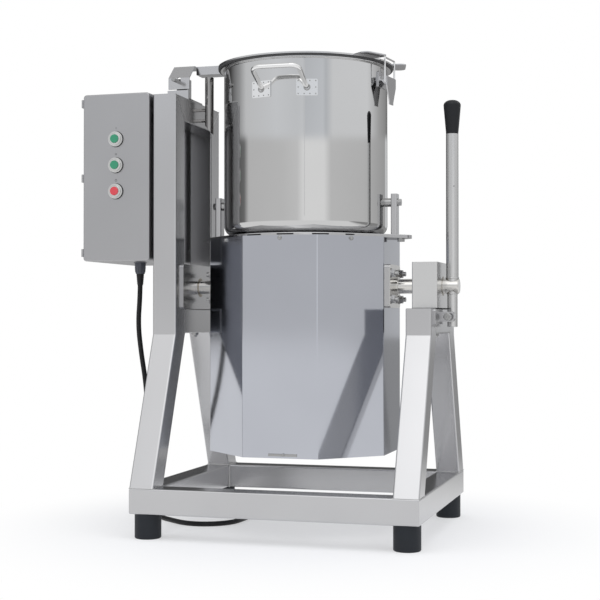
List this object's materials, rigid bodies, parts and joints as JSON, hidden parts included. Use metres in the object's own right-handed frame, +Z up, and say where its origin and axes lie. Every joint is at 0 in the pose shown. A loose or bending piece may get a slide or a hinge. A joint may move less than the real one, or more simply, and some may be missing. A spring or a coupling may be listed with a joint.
{
  "type": "tilting bowl cutter",
  "caption": "Tilting vertical bowl cutter: covered steel bowl over a motor casing on trunnions between a tall and a low side frame, with a control box and a tilt lever.",
  "frame": {"origin": "on the floor under the middle of the welded base, below the bowl's axis", "axes": "+Z up along the bowl's axis, +X along the trunnions to the tilt lever's side, -Y to the front where the bowl tips out"},
  "size_m": [0.9681, 0.626, 1.215],
  "materials": {
    "stainless_satin": "satin",
    "stainless_bright": "bright polished",
    "bright_wire": "polished",
    "bolt_steel": "machined",
    "knife_steel": "ground",
    "bronze": "machined",
    "foot_rubber": "matt",
    "gasket_rubber": "matt",
    "motor_paint": "painted",
    "grip_plastic": "matt",
    "zinc_plate": "zinc plated",
    "switch_plastic": "matt",
    "bezel_metal": "satin",
    "green_plastic": "gloss",
    "red_plastic": "gloss",
    "gland_plastic": "matt",
    "cord_rubber": "matt",
    "plug_plastic": "matt"
  },
  "bodies": {
    "frame": {"base_frame": "stainless_satin", "left_side_frame": "stainless_satin", "right_side_frame": "stainless_satin", "rubber_feet": "foot_rubber", "left_bearing_block": "stainless_satin", "right_bearing_block": "stainless_satin", "left_cheek_plate": "stainless_bright", "trunnion_bushes": "bronze", "bearing_block_nuts": "bolt_steel", "lid_hinge_bracket": "stainless_satin", "lid_hinge_pin": "bolt_steel", "lid_switch_tube": "bright_wire", "lever_stop_bracket": "stainless_satin", "control_box": "stainless_satin", "box_spacers": "bolt_steel", "box_back_plate": "zinc_plate", "switchgear": "switch_plastic", "door_hinge_leaves": "stainless_satin", "cable_gland": "gland_plastic", "mains_cord": "cord_rubber", "cord_coil": "cord_rubber", "mains_plug": "plug_plastic"},
    "tilt_unit": {"motor_casing": "stainless_bright", "casing_bottom_cover": "stainless_bright", "bowl_mounting_plate": "stainless_satin", "left_trunnion": "stainless_satin", "right_trunnion": "stainless_satin", "trunnion_flange_bolts": "bolt_steel", "stay_posts": "stainless_satin", "stay_bolts": "bolt_steel", "bowl": "stainless_bright", "front_handle": "bright_wire", "rear_handle": "bright_wire", "motor_body": "motor_paint", "motor_end_bell": "motor_paint", "motor_fan_cowl": "motor_paint", "spindle_housing": "stainless_bright", "latch_bracket": "stainless_satin", "tilt_lever": "stainless_satin", "lever_grip": "grip_plastic"},
    "knife_rotor": {"spindle": "bolt_steel", "knife_collars": "bolt_steel", "lower_knife": "knife_steel", "upper_knife": "knife_steel", "knife_nut": "bolt_steel"},
    "lid_group": {"lid": "stainless_bright", "lid_tabs": "stainless_satin", "lid_gasket": "gasket_rubber", "lid_arm": "stainless_satin", "lid_hinge_leaf": "stainless_satin"},
    "right_lever": {"right_latch_lever": "stainless_satin"},
    "right_bail": {"right_latch_bail": "bright_wire"},
    "box_door": {"control_box_door": "stainless_satin", "button_bezels": "bezel_metal", "button_contact_blocks": "switch_plastic"},
    "slow_cap": {"slow_button": "green_plastic"},
    "fast_cap": {"fast_button": "green_plastic"},
    "stop_cap": {"stop_button": "red_plastic"},
    "stop_pin": {"stop_plunger": "bolt_steel"}
  },
  "joints": [
    {"name": "bowl_tilt", "type": "hinge", "parent": "frame", "child": "tilt_unit", "pos_m": [0, 0, 0.6245], "axis": [1, 0, 0], "range_deg": [0, 100]},
    {"name": "knife_spin", "type": "hinge", "parent": "tilt_unit", "child": "knife_rotor", "pos_m": [0, 0, 0.78], "axis": [0, 0, 1], "continuous": true},
    {"name": "lid_hinge", "type": "hinge", "parent": "tilt_unit", "child": "lid_group", "pos_m": [-0.33075, 0, 1.167], "axis": [0, -1, 0], "range_deg": [0, 100]},
    {"name": "right_latch_lever_turn", "type": "hinge", "parent": "tilt_unit", "child": "right_lever", "pos_m": [0.22281, -0.03131, 1.15], "axis": [-0.1392, -0.9903, 0], "range_deg": [0, 100]},
    {"name": "right_latch_bail_turn", "type": "hinge", "parent": "right_lever", "child": "right_bail", "pos_m": [0.23147, -0.03253, 1.14], "axis": [0.1392, 0.9903, 0], "range_deg": [0, 130]},
    {"name": "box_door_hinge", "type": "hinge", "parent": "frame", "child": "box_door", "pos_m": [-0.556, -0.169, 0.9], "axis": [0, 0, -1], "range_deg": [0, 110]},
    {"name": "slow_button_press", "type": "slide", "parent": "box_door", "child": "slow_cap", "axis": [0, 1, 0], "range_m": [0, 0.003], "stiffness_N_per_m": 600},
    {"name": "fast_button_press", "type": "slide", "parent": "box_door", "child": "fast_cap", "axis": [0, 1, 0], "range_m": [0, 0.003], "stiffness_N_per_m": 600},
    {"name": "stop_button_press", "type": "slide", "parent": "box_door", "child": "stop_cap", "axis": [0, 1, 0], "range_m": [0, 0.003], "stiffness_N_per_m": 600},
    {"name": "stop_plunger_slide", "type": "slide", "parent": "frame", "child": "stop_pin", "axis": [0, -1, 0], "range_m": [0, 0.012], "stiffness_N_per_m": 1500}
  ],
  "couplings": [
    {"joint": "right_latch_bail_turn", "follows": "right_latch_lever_turn", "ratio": 1.25}
  ]
}
